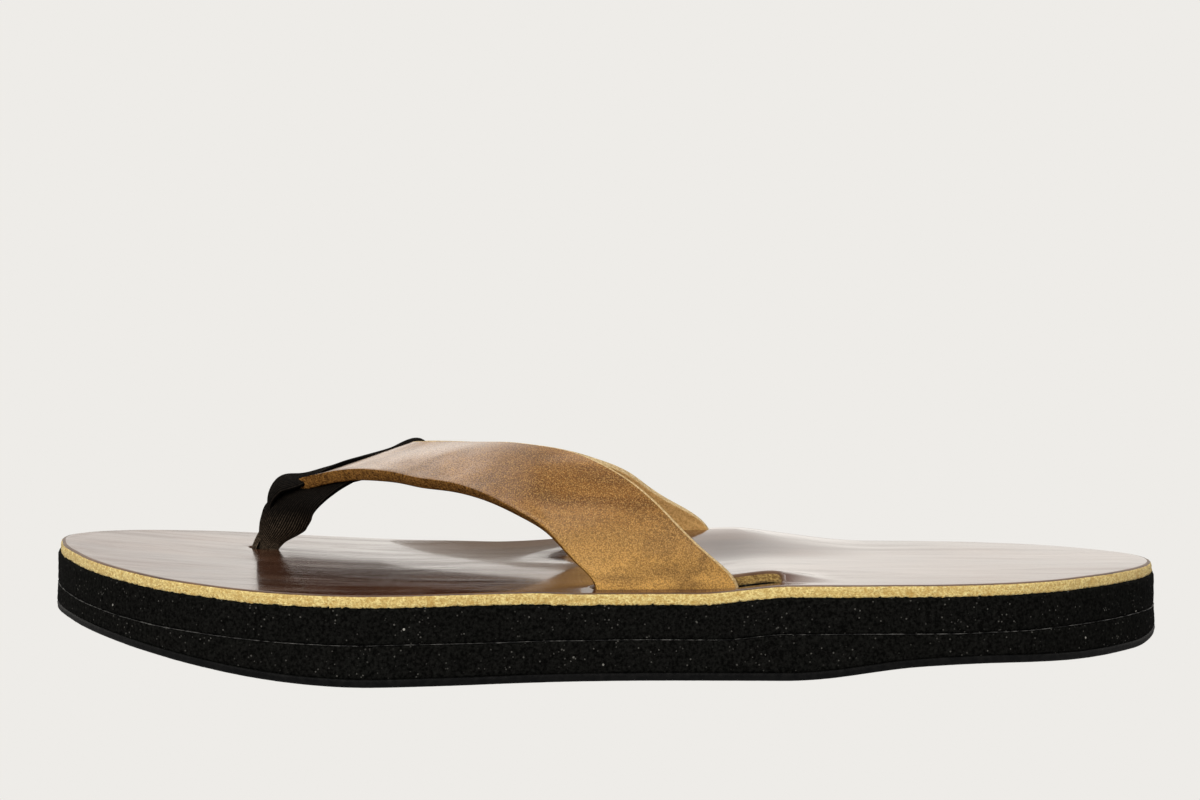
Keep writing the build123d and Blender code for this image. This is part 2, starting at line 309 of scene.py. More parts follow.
def inside(points, loop):
    """Which points lie inside a closed loop."""
    ax, ay = loop[:, 0], loop[:, 1]
    bx, by = np.roll(ax, -1), np.roll(ay, -1)
    px, py = points[:, :1], points[:, 1:2]
    crosses = (ay > py) != (by > py)
    reach = ax + (py - ay) * (bx - ax) / np.where(by == ay, 1e-9, by - ay)
    return (crosses & (px < reach)).sum(axis=1) % 2 == 1


def clearance(points, loop):
    """Distance from each point to the nearest point of a loop."""
    return np.min(np.linalg.norm(points[:, None, :] - loop[None, :, :], axis=2), axis=1)


def spots(rim, holes, height, spacing):
    """Staggered points across a sheet, half a spacing clear of its rim and holes."""
    margin = spacing / 2
    low, high = rim.min(axis=0), rim.max(axis=0)
    rows = []
    for j, y in enumerate(np.arange(low[1], high[1], spacing * 0.87)):
        x = np.arange(low[0] + (j % 2) * spacing / 2, high[0], spacing)
        rows.append(np.column_stack([x, np.full(len(x), y)]))
    points = np.vstack(rows)
    points = points[inside(points, rim)]
    points = points[clearance(points, rim) > margin]
    for hole in holes:
        points = points[~inside(points, hole)]
        points = points[clearance(points, hole) > margin]
    return np.column_stack([points, height(points[:, 0], points[:, 1])])


class Shell:
    """A closed surface made of rings, bands and filled faces. A ring is a list of vertex numbers."""

    def __init__(self):
        self.verts, self.faces, self.mats = [], [], []

    def ring(self, flat, z):
        start = len(self.verts)
        self.verts.extend(np.column_stack([flat, np.broadcast_to(z, len(flat))]).tolist())
        return list(range(start, len(self.verts)))

    def bands(self, rings, material):
        for a, b in zip(rings, rings[1:]):
            n = len(a)
            self.faces += [(a[j], a[(j + 1) % n], b[(j + 1) % n], b[j]) for j in range(n)]
            self.mats += [material] * n

    def loops(self, loops):
        """The loops seen from above."""
        return [np.array([self.verts[i][:2] for i in loop]) for loop in loops]

    def cap(self, loops, extra, material, lines=()):
        """Fills between index loops, through extra points; lines are kept as edges."""
        start = len(self.verts)
        self.verts.extend(np.asarray(extra).tolist())
        ids = [i for loop in loops for i in loop] + list(range(start, len(self.verts)))
        place = {i: k for k, i in enumerate(ids)}
        edges = [(place[loop[j - 1]], place[loop[j]]) for loop in loops for j in range(len(loop))]
        edges += [(place[start + i], place[start + j]) for i, j in lines]
        flat = np.array([self.verts[i][:2] for i in ids])
        found = delaunay_2d_cdt([Vector(p) for p in flat], edges, [], 0, 1e-7)
        names = [sources[0] if sources else -1 for sources in found[3]]
        tris = np.array([[names[i] for i in face] for face in found[2]])
        tris = tris[(tris >= 0).all(axis=1)]
        middles = flat[tris].mean(axis=1)
        rim, *holes = self.loops(loops)
        keep = inside(middles, rim)
        for hole in holes:
            keep &= ~inside(middles, hole)
        for tri in tris[keep]:
            self.faces.append(tuple(ids[i] for i in tri))
            self.mats.append(material)

    def build(self, name, replaces, materials):
        new_object(name, self.verts, self.faces, replaces, materials, self.mats)


# ---- materials ----------------------------------------------------------------
ALONG_SCALE, HEIGHT_SCALE = 3.57, 20.0      # one over the sole's length and over 50 mm, per metre


def fill_ramp(node, stops):
    """stops: (position, colour or number), ..."""
    elements = node.color_ramp.elements
    while len(elements) < len(stops):
        elements.new(0.5)
    for element, (position, colour) in zip(elements, stops):
        element.position = position
        if isinstance(colour, (int, float)):
            colour = (colour, colour, colour)
        element.color = (*colour, 1)


class Nodes:
    """Short hand for building a node tree."""

    def __init__(self, name):
        self.material = bpy.data.materials.new(name)
        self.material.use_nodes = True
        self.tree = self.material.node_tree
        self.tree.nodes.clear()
        self.output = self.add("ShaderNodeOutputMaterial")
        self.shader = self.add("ShaderNodeBsdfPrincipled")
        self.link(self.shader.outputs[0], self.output.inputs[0])
        self.position = self.add("ShaderNodeTexCoord").outputs["Object"]

    def add(self, kind, **settings):
        node = self.tree.nodes.new(kind)
        for key, value in settings.items():
            setattr(node, key, value)
        return node

    def link(self, a, b):
        self.tree.links.new(a, b)

    def stretch(self, scale):
        node = self.add("ShaderNodeMapping")
        node.inputs["Scale"].default_value = scale
        self.link(self.position, node.inputs[0])
        return node.outputs[0]

    def noise(self, scale, detail=3.0, rough=0.5, stretch=(1, 1, 1), distortion=0.0):
        node = self.add("ShaderNodeTexNoise")
        node.inputs["Scale"].default_value = scale
        node.inputs["Detail"].default_value = detail
        node.inputs["Roughness"].default_value = rough
        node.inputs["Distortion"].default_value = distortion
        self.link(self.stretch(stretch), node.inputs["Vector"])
        return node.outputs["Fac"]

    def cells(self, scale, stretch=(1, 1, 1)):
        node = self.add("ShaderNodeTexVoronoi")
        node.inputs["Scale"].default_value = scale
        self.link(self.stretch(stretch), node.inputs["Vector"])
        return node.outputs["Distance"]

    def feed(self, socket, value):
        """Links another node's output, or sets a colour or a number."""
        if hasattr(value, "is_linked"):
            self.link(value, socket)
        elif isinstance(value, tuple):
            socket.default_value = (*value, 1)
        else:
            socket.default_value = value

    def ramp(self, value, stops):
        node = self.add("ShaderNodeValToRGB")
        fill_ramp(node, stops)
        self.link(value, node.inputs[0])
        return node.outputs[0]

    def mix(self, factor, a, b):
        node = self.add("ShaderNodeMix", data_type="RGBA")
        for place, value in ((0, factor), (6, a), (7, b)):
            self.feed(node.inputs[place], value)
        return node.outputs[2]

    def math(self, operation, a, b):
        node = self.add("ShaderNodeMath", operation=operation)
        for socket, value in zip(node.inputs, (a, b)):
            self.feed(socket, value)
        return node.outputs[0]

    def axis(self, name):
        split = self.add("ShaderNodeSeparateXYZ")
        self.link(self.position, split.inputs[0])
        return split.outputs[name]

    def along(self):
        """0 at the toe end, 1 at the heel end."""
        return self.math("ADD", self.math("MULTIPLY", self.axis("X"), ALONG_SCALE), 0.5)

    def height(self):
        """0 on the ground, 1 at 50 mm."""
        return self.math("MULTIPLY", self.axis("Z"), HEIGHT_SCALE)

    def bump(self, height, distance, strength=1.0, under=None):
        node = self.add("ShaderNodeBump")
        node.inputs["Strength"].default_value = strength
        node.inputs["Distance"].default_value = distance
        self.link(height, node.inputs["Height"])
        if under is not None:
            self.link(under, node.inputs["Normal"])
        return node.outputs[0]

    def set(self, **sockets):
        names = {"color": "Base Color", "roughness": "Roughness", "normal": "Normal",
                 "coat": "Coat Weight", "coat_roughness": "Coat Roughness", "coat_ior": "Coat IOR",
                 "sheen": "Sheen Weight", "specular": "Specular IOR Level"}
        for key, value in sockets.items():
            self.feed(self.shader.inputs[names[key]], value)
        return self.material


def footbed_leather():
    """Dark red-brown grain under a hard gloss, with pale streaks along the foot painted in as glare, duller
    at the toe.
    """
    n = Nodes("footbed_leather")
    patches = n.ramp(n.noise(20, 5, 0.6, (0.9, 1.2, 1), 0.3), [(0.3, 0.0), (0.7, 1.0)])
    deep = n.mix(patches, (0.032, 0.011, 0.006), (0.120, 0.048, 0.024))
    # painted glare: pale streaks along the foot, mixed into the colour
    streaks = n.ramp(n.noise(110, 5, 0.6, (0.30, 1.0, 1.0), 0.4), [(0.45, 0.0), (0.72, 1.0)])
    color = n.mix(n.math("MULTIPLY", streaks, 0.25), deep, (0.26, 0.14, 0.08))
    rough = n.ramp(n.noise(80, 6, 0.7, (0.15, 1.0, 1.0), 0.5), [(0.34, 0.05), (0.66, 0.27)])
    gloss = n.ramp(n.along(), [(0.05, 0.0), (0.30, 0.44), (0.60, 0.78), (0.82, 0.34)])
    pores = n.bump(n.cells(1500, stretch=(1, 1, 0.2)), 0.00003, 0.25)
    ripples = n.bump(n.noise(70, 5, 0.6, (0.20, 1.0, 0.3)), 0.0004, 0.35, pores)
    return n.set(color=color, roughness=rough, normal=ripples, coat=gloss, coat_roughness=0.05)


def raw_edge(name, light, dark, sheen=0.15, specular=0.2):
    """Cut leather edge: golden fibre bundles, with painted shade darkening the pits between them."""
    n = Nodes(name)
    fibres = n.noise(2600, 5, 0.7, (0.7, 0.7, 1.0))
    clumps = n.noise(700, 4, 0.65)
    shaded_pits = n.cells(1700)
    color = n.mix(n.ramp(fibres, [(0.38, 0.0), (0.62, 1.0)]), dark, light)
    color = n.mix(n.ramp(clumps, [(0.38, 0.6), (0.50, 0.0)]), color, dark)
    # painted shade: the pits go to a third of the dark tone
    color = n.mix(n.ramp(shaded_pits, [(0.0, 0.75), (0.22, 0.0)]), color, tuple(c * 0.35 for c in dark))
    bumps = n.bump(fibres, 0.0005, 0.9, n.bump(clumps, 0.0005, 0.7))
    return n.set(color=color, roughness=0.85, normal=bumps, sheen=sheen, specular=specular)


def strap_leather():
    """Waxed golden-brown grain: dark pull-up patches, paler low down, and on the bridge a pale bloom that
    is partly wax and partly painted sheen, glossy there too.
    """
    n = Nodes("strap_leather")
    along = n.along()
    tones = [(0.38, (0.080, 0.030, 0.007)), (0.50, (0.185, 0.070, 0.011)), (0.64, (0.33, 0.145, 0.030))]
    base = n.ramp(n.noise(26, 5, 0.62, (0.8, 1.0, 1.6), 1.0), tones)
    low_down = n.ramp(n.height(), [(0.42, 0.80), (0.76, 0.0)])
    base = n.mix(low_down, base, (0.80, 0.45, 0.120))
    streaks = n.noise(60, 6, 0.68, (0.45, 1.0, 1.0), 0.8)
    base = n.mix(n.ramp(streaks, [(0.49, 0.0), (0.62, 0.62)]), base, (0.085, 0.036, 0.012))
    # painted sheen: the pale bloom on the bridge is partly wax bloom, partly the whitish glare of the gloss
    # mixed into the colour
    bridge = n.ramp(along, [(0.36, 1.0), (0.45, 0.0)])
    bloom_and_sheen = n.ramp(n.noise(110, 5, 0.6, (0.4, 1.0, 1.0), 0.4), [(0.35, 0.30), (0.65, 0.85)])
    base = n.mix(n.math("MULTIPLY", bridge, bloom_and_sheen), base, (0.66, 0.50, 0.41))
    pebbles = n.cells(3200)
    grain = n.noise(3400, 3, 0.6)
    base = n.mix(n.ramp(grain, [(0.46, 0.0), (0.62, 0.50)]), base, (0.72, 0.42, 0.13))
    base = n.mix(n.ramp(pebbles, [(0.32, 0.0), (0.72, 0.50)]), base, (0.05, 0.020, 0.006))
    polish = n.ramp(along, [(0.38, 1.0), (0.47, 0.25)])
    rough = n.ramp(n.noise(60, 4, 0.6), [(0.3, 0.42), (0.7, 0.58)])
    fine = n.bump(pebbles, 0.00009, 0.6)
    rolling = n.bump(n.noise(160, 3, 0.5), 0.0003, 0.35, fine)
    return n.set(color=base, roughness=rough, normal=rolling, specular=0.2,
                 coat=polish, coat_roughness=0.22, coat_ior=1.8)


def suede():
    """Flesh side of the strap: tan, napped, matte."""
    n = Nodes("suede_back")
    nap = n.noise(1500, 5, 0.7)
    cloud = n.noise(60, 3, 0.5)
    color = n.mix(n.ramp(nap, [(0.36, 0.0), (0.64, 1.0)]), (0.50, 0.27, 0.085), (0.88, 0.54, 0.20))
    color = n.mix(n.ramp(cloud, [(0.35, 0.25), (0.65, 0.0)]), color, (0.20, 0.10, 0.035))
    return n.set(color=color, roughness=0.95, normal=n.bump(nap, 0.0004, 0.8), sheen=0.3, specular=0.1)


def webbing_fabric(name, low, high):
    """Black nylon threads, painted lighter low down where the band is lit and near black higher up where it
    lies in shade: low and high are the two ends of that change.
    """
    n = Nodes(name)
    thread = n.noise(2200, 3, 0.6)
    # painted light and shade: lighter low on the band, darker high up
    painted_light_by_height = n.ramp(n.height(), [(0.46, low), (0.64, high)])
    color = n.mix(n.ramp(thread, [(0.34, 0.0), (0.60, 0.75)]), painted_light_by_height, (0.0010, 0.0009, 0.0008))
    return n.set(color=color, roughness=0.75, normal=n.bump(thread, 0.0002, 0.8), specular=0.06)


def foam():
    """Matte black EVA with fine pores and scattered pale specks."""
    n = Nodes("eva_foam")
    mottling = n.noise(1400, 4, 0.7)
    base = n.ramp(mottling, [(0.4, (0.0019, 0.0019, 0.0017)), (0.66, (0.0100, 0.0100, 0.0090))])
    specks = n.ramp(n.cells(850), [(0.0, 1.0), (0.12, 1.0), (0.19, 0.0)])
    gate = n.ramp(n.noise(260, 3, 0.6), [(0.46, 0.0), (0.58, 1.0)])
    base = n.mix(n.math("MULTIPLY", n.math("MULTIPLY", specks, gate), 0.45), base, (0.16, 0.155, 0.14))
    crumbs = n.ramp(n.cells(260), [(0.0, 1.0), (0.055, 1.0), (0.075, 0.0)])
    lone = n.ramp(n.noise(90, 2, 0.5), [(0.55, 0.0), (0.6, 1.0)])
    base = n.mix(n.math("MULTIPLY", crumbs, lone), base, (0.34, 0.33, 0.30))
    pores = n.bump(n.cells(1800), 0.00012, 0.6)
    cut = n.bump(n.noise(600, 4, 0.6, (1, 1, 0.35)), 0.0003, 0.5, pores)
    return n.set(color=base, roughness=0.95, normal=cut, specular=0.03)


def rubber():
    """Outsole sheet: slightly smoother black rubber."""
    n = Nodes("outsole_rubber")
    grime = n.noise(700, 4, 0.6)
    color = n.ramp(grime, [(0.4, (0.0012, 0.0012, 0.0012)), (0.7, (0.0055, 0.0053, 0.0050))])
    pores = n.bump(n.noise(900, 3, 0.6), 0.0002, 0.5)
    return n.set(color=color, roughness=0.6, normal=pores, specular=0.3)


def burnished():
    """Rubbed-down rim between the gloss top and the raw edge."""
    n = Nodes("burnished_rim")
    tone = n.noise(140, 3, 0.5)
    color = n.ramp(tone, [(0.3, (0.060, 0.026, 0.012)), (0.7, (0.15, 0.075, 0.03))])
    return n.set(color=color, roughness=0.42, normal=n.bump(n.noise(700, 3, 0.5), 0.0001, 0.4))


def glue():
    """Dried cement showing as a thin pale line."""
    n = Nodes("cement_line")
    patchy = n.noise(420, 4, 0.65, (1, 1, 3))
    color = n.ramp(patchy, [(0.44, (0.008, 0.008, 0.008)), (0.62, (0.10, 0.098, 0.092))])
    return n.set(color=color, roughness=0.7, normal=n.bump(patchy, 0.0002, 0.5))


# ---- sole -----------------------------------------------------------------------
RING = 1500                 # points round the sole
GIRTH = 680.0 / RING        # and about how far apart they are
HOLE_STEPS = 13             # points on each round end of a slot
WALL_STEPS = 12             # steps up a foam wall
CORNER, CORNER_SHARE = 0.28, 9.0            # a wall's corners are rounded over a ninth of its height
LEATHER_HANG, LEATHER_GAP = 0.12, 0.02      # the leather's edge hangs over the foam, its back sits off it
RIM_WANDER, HANG_WANDER, FUZZ = 0.16, 0.12, 0.06
UNDER_INSET, TOP_INSET, LIP_WIDTH = 0.9, 1.7, 1.3
# footbed edge, upwards: how far each row stands out, and its share of the height
EDGE_PROFILE = [(-0.30, 0.0), (0.10, 0.05), (0.22, 0.2), (0.14, 0.34), (0.16, 0.5), (0.10, 0.66),
                (0.04, 0.8), (-0.14, 0.91)]
# then over the rim, and over the lip of an opening: how far in, and how far below the top
RIM_PROFILE = [(0.42, 0.07), (0.9, 0.01)]
LIP_PROFILE = [(0.10, 0.34), (0.34, 0.10), (0.75, 0.02)]


def stadium(ends, width, tail):
    """Outline of an open slot: the strap's width plus a tail behind it."""
    front, back = ends
    along = unit(back - front)
    side = np.array([-along[1], along[0]])
    points = []
    for centre, angle in ((front + along * SLOT_FRONT_INSET, math.pi), (back + along * tail, 0.0)):
        for k in range(HOLE_STEPS):
            a = angle - math.pi / 2 + math.pi * k / (HOLE_STEPS - 1)
            points.append(centre + (along * math.cos(a) + side * math.sin(a)) * width / 2)
    return resample(np.array(points), 1.0)


def toe_hole():
    turn = np.linspace(0, math.tau, 41)[:-1]
    return HOLE + HOLE_R * np.stack([np.cos(turn), np.sin(turn)], axis=1)


def openings():
    """The two slots and the toe hole."""
    return [stadium(ends, SLOT_W, SLOT_TAIL) for ends in SLOTS.values()] + [toe_hole()]


def jitter(count, step, seed, low, high):
    """Smooth random wander along a rim."""
    return waves(np.arange(count) * step, 0.0, seed, count=12, low=low, high=high)


def leather_under(x, y):
    return foam_top(x, y) + LEATHER_GAP


def footbed(top_material, edge_material, rim_material, shaded_slot_material):
    """Leather footbed: gloss top, softly rolled rim, raw cut edge with loose fibres."""
    shell = Shell()
    gloss, raw, burnt, shaded_slot_wall = range(4)
    base = outline(RING)
    normal = outward(base)
    ring = base - normal * FOAM_PROUD
    ring = ring + normal * (RIM_WANDER * jitter(RING, GIRTH, 21, 0.1, 0.6))[:, None]
    low = foam_top(ring[:, 0], ring[:, 1]) - LEATHER_HANG
    for seed, slowest, fastest in ((22, 0.8, 5.0), (23, 3.0, 13.0)):
        low = low + HANG_WANDER * jitter(RING, GIRTH, seed, slowest, fastest)
    high = footbed_top(ring[:, 0], ring[:, 1])
    under = shell.ring(ring - normal * UNDER_INSET, leather_under(ring[:, 0], ring[:, 1]))
    wall = [under]
    for out, t in EDGE_PROFILE:
        fuzz = FUZZ * waves(np.arange(RING) * GIRTH, t * 9, 31, count=12, low=0.8, high=7.0)
        wall.append(shell.ring(ring + normal * (out + fuzz)[:, None], low + (high - low) * t))
    shell.bands(wall, raw)
    roll = [wall[-1]] + [shell.ring(ring - normal * step, high - drop) for step, drop in RIM_PROFILE]
    shell.bands(roll, burnt)
    inner = ring - normal * TOP_INSET
    top = shell.ring(inner, footbed_top(inner[:, 0], inner[:, 1]))
    shell.bands([roll[-1], top], gloss)
    tops, bottoms = [top], [under]
    for seed, hole in enumerate(openings()):
        away = outward(hole)
        bottom, height = leather_under(hole[:, 0], hole[:, 1]), footbed_top(hole[:, 0], hole[:, 1])
        rings = []
        for t in (0.0, 0.25, 0.5, 0.74):
            rough = 0.07 * waves(np.arange(len(hole)) * 1.0, t * 7, 60 + seed, low=0.6, high=4.0)
            rings.append(shell.ring(hole + away * rough[:, None], bottom + (height - bottom) * t))
        # painted shade: the walls inside the openings take a darker copy of the cut edge
        shell.bands(rings, shaded_slot_wall)
        lip = [rings[-1]] + [shell.ring(hole + away * step, height - drop) for step, drop in LIP_PROFILE]
        shell.bands(lip, burnt if seed == 0 else gloss)
        wide = hole + away * LIP_WIDTH
        level = shell.ring(wide, footbed_top(wide[:, 0], wide[:, 1]))
        shell.bands([lip[-1], level], gloss)
        tops.append(level)
        bottoms.append(rings[0])
    loops = shell.loops(tops)
    shell.cap(tops, spots(loops[0], loops[1:], footbed_top, 2.4), gloss)
    loops = shell.loops(bottoms)
    shell.cap(bottoms, spots(loops[0], loops[1:], leather_under, 5.0), raw)
    shell.build("footbed_leather", ["footbed"],
                [top_material, edge_material, rim_material, shaded_slot_material])


def cut_wall(shell, ring, low, high, flare, seed, steps=WALL_STEPS):
    """Knife-cut foam wall: faint saw marks, corners barely rounded; gives its lowest and highest ring."""
    rings = []
    normal = outward(ring)
    along = np.arange(len(ring)) * GIRTH
    for k in range(steps + 1):
        t = k / steps
        corner = -CORNER * max(0.0, 1 - min(t, 1 - t) * CORNER_SHARE) ** 2
        out = corner + flare[0] * (1 - t) + flare[1] * t
        marks = 0.035 * waves(along * 0.25, t * 14, seed, low=0.5, high=3.0)
        marks = marks + 0.03 * waves(along, t * 5, seed + 50, low=1.0, high=5.0)
        rings.append(shell.ring(ring + normal * (out + marks)[:, None], low + (high - low) * t))
    shell.bands(rings, 0)
    return rings[0], rings[-1]


def upper_midsole(material):
    shell = Shell()
    ring = outline(RING)
    low, high = seam(ring[:, 0]), foam_top(ring[:, 0], ring[:, 1])
    bottom, top = cut_wall(shell, ring, low, high, (0.05, 0.0), 7)
    bottoms, tops = [bottom], [top]
    for hole in openings():
        x, y = hole[:, 0], hole[:, 1]
        rings = [shell.ring(hole, seam(x) + (foam_top(x, y) - seam(x)) * t) for t in (0, 0.33, 0.66, 1)]
        shell.bands(rings, 0)
        bottoms.append(rings[0])
        tops.append(rings[-1])
    loops = shell.loops(tops)
    shell.cap(tops, spots(loops[0], loops[1:], foam_top, 4.0), 0)
    shell.cap(bottoms, spots(loops[0], loops[1:], lambda x, y: seam(x), 8.0), 0)
    shell.build("upper_foam", ["upper_midsole"], [material])


def tab_pocket(ends):
    """Recess for a strap end that is turned in between the foam sheets."""
    along, inward = slot_axes(ends)
    near = -(STRAP_T / 2 + POCKET_GAP)
    far = TAB_LENGTH + POCKET_GAP
    front, back = ends[0] - along * POCKET_GAP, ends[1] + along * POCKET_GAP
    corners = [front + inward * near, back + inward * near, back + inward * far, front + inward * far]
    floor = SEAM_Z - STRAP_T - TAB_SUNK - POCKET_GAP
    return resample(np.array(corners), 1.0), lambda x: np.full(len(x), floor)


def web_pocket():
    """Recess for the webbing ends under the toe hole."""
    half_long, half_wide = THONG_POCKET[0] / 2, THONG_POCKET[1] / 2
    side = np.array([-WEB_HEADING[1], WEB_HEADING[0]])
    corners = [HOLE + WEB_HEADING * a * half_long + side * b * half_wide
               for a, b in ((-1, -1), (1, -1), (1, 1), (-1, 1))]
    return resample(np.array(corners), 1.0), lambda x: seam(x) - WEB_T - 2 * WEB_GAP


def lower_midsole(material):
    shell = Shell()
    ring = outline(RING)
    low, high = underside(ring[:, 0]) + OUTSOLE_T, seam(ring[:, 0])
    bottom, top = cut_wall(shell, ring, low, high, (0.30, 0.08), 5)
    tops = [top]
    for loop, floor in [tab_pocket(ends) for ends in SLOTS.values()] + [web_pocket()]:
        rim = shell.ring(loop, seam(loop[:, 0]))
        foot = shell.ring(loop, floor(loop[:, 0]))
        shell.bands([rim, foot], 0)
        shell.cap([foot], spots(loop, [], lambda x, y: floor(x), 4.0), 0)
        tops.append(rim)
    loops = shell.loops(tops)
    shell.cap(tops, spots(loops[0], loops[1:], lambda x, y: seam(x), 6.0), 0)
    shell.cap([bottom], spots(loops[0], [], lambda x, y: underside(x) + OUTSOLE_T, 8.0), 0)
    shell.build("lower_foam", ["lower_midsole"], [material])


def outsole(material):
    """Thin wear sheet with wavy cross grooves under it, short of the edge."""
    shell = Shell()
    ring = outline(RING)
    normal = outward(ring)
    low, high = underside(ring[:, 0]), underside(ring[:, 0]) + OUTSOLE_T
    bottom, top = cut_wall(shell, ring, low, high, (0.12, 0.36), 3, steps=5)
    loops = shell.loops([bottom])
    shell.cap([top], spots(loops[0], [], lambda x, y: underside(x) + OUTSOLE_T, 8.0), 0)
    land = ring - normal * TREAD_MARGIN
    extra, lines = [], []
    y = np.arange(-TREAD_HALF_SPAN, TREAD_HALF_SPAN + 0.1, TREAD_STEP)
    for centre in np.arange(TREAD_FROM, TREAD_TO, TREAD_PITCH):
        for shift, depth in TREAD_SECTION:
            x = centre + shift + TREAD_WAVE * np.sin(y / TREAD_WAVE_RUN)
            row = np.column_stack([x, y])
            row = row[inside(row, land) & (clearance(row, land) > 1.0)]
            if len(row) < 4:
                continue
            fade = np.ones(len(row))
            fade[0] = fade[-1] = 0.0
            z = underside(row[:, 0]) + TREAD_DEPTH * depth * fade
            first = len(extra)
            extra += np.column_stack([row, z]).tolist()
            lines += [(first + i, first + i + 1) for i in range(len(row) - 1)]
    shell.cap([bottom], extra, 0, lines)
    shell.build("outsole_sheet", ["outsole"], [material])


def cement_line(material):
    """Thin uneven bead of dried cement where the foam sheets meet."""
    ring = outline(RING)
    normal = outward(ring)
    x = ring[:, 0]
    thick = 0.05 + 0.04 * jitter(RING, GIRTH, 41, 0.2, 4.0)
    out = 0.06 + 0.06 * jitter(RING, GIRTH, 42, 0.3, 3.0)
    middle = seam(x) + 0.05 * jitter(RING, GIRTH, 43, 0.05, 0.4)
    shell = Shell()
    section = ((-0.7, -1.0), (0.0, -1.0), (0.05, 0.0), (0.0, 1.0), (-0.7, 1.0))     # out, share of thick
    rings = []
    for step, side in section:
        rings.append(shell.ring(ring + normal * (step + out)[:, None], middle + side * thick))
    shell.bands(rings + rings[:1], 0)
    shell.build("cement_line", [], [material])


def make_sole():
    foam_mat = foam()
    edge = raw_edge("footbed_edge", (1.0, 0.84, 0.37), (0.56, 0.34, 0.085))
    outsole(rubber())
    lower_midsole(foam_mat)
    upper_midsole(foam_mat)
    # painted shade: the footbed's cut edge again, darker, for the walls inside the openings
    shaded_slot_edge = raw_edge("shaded_slot_edge", (0.62, 0.42, 0.14), (0.16, 0.085, 0.022))
    footbed(footbed_leather(), edge, burnished(), shaded_slot_edge)
    cement_line(glue())


# ---- strap ----------------------------------------------------------------------
ROWS, COLUMNS = 420, 34             # points along the leather, and across its face
EDGE_START = 0.986                  # where the last column but one lies, as a share of the width
BOW, BRIDGE_DIP, BRIDGE_REACH = 1.1, 1.4, 40.0      # crown of the arms, and how the bridge takes it back
ARM_FOOT, ARM_RAMP = 22.0, 12.0     # height above which the leather takes its crown, and over how much
UNEVEN_FACE, UNEVEN_EDGE = 0.16, 0.22
LIP_THICKER, LIP_REACH = 0.36, 2.4  # the front edge is swollen by this share, over this width
EDGE_REACH = 0.35                   # how far the cut edges bulge
# section of a cut edge, from grain side to flesh side: shares of the bulge and of half the thickness
EDGE_ROUND = [(0.55, 0.72), (0.95, 0.3), (1.0, -0.2), (0.6, -0.75)]


def foot_rows(end):
    """Rows that carry a strap end down its slot and inwards under the foam."""
    front, back = SLOTS[end]
    inward = slot_axes(SLOTS[end])[1]
    low = SEAM_Z - TAB_SUNK - STRAP_T / 2
    path = [(TAB_LENGTH, 0.0), (9.0, 0.0), (3.0, 0.0), (0.9, 0.5), (0.0, 2.2), (0.0, 6.0)]
    rows = []
    for reach, rise in path:
        shift = inward * reach
        rows.append(((*(front + shift), low + rise), (*(back + shift), low + rise)))
    return rows


def strap_stations(count):
    """Front edge and back edge along the whole strap."""
    rows = foot_rows("outer") + STRAP_ROWS + foot_rows("inner")[::-1]
    edges = np.array([[*front, *back] for front, back in rows])
    t = travel(edges)
    both = cubic(t, edges, np.linspace(0, t[-1], count))
    return both[:, :3], both[:, 3:]


def edge_wander(u, place, seed):
    """How far the knife strayed at a share u of the strap's length."""
    return UNEVEN_EDGE * waves(np.array([u * 60.0]), np.array([place]), seed)[0]


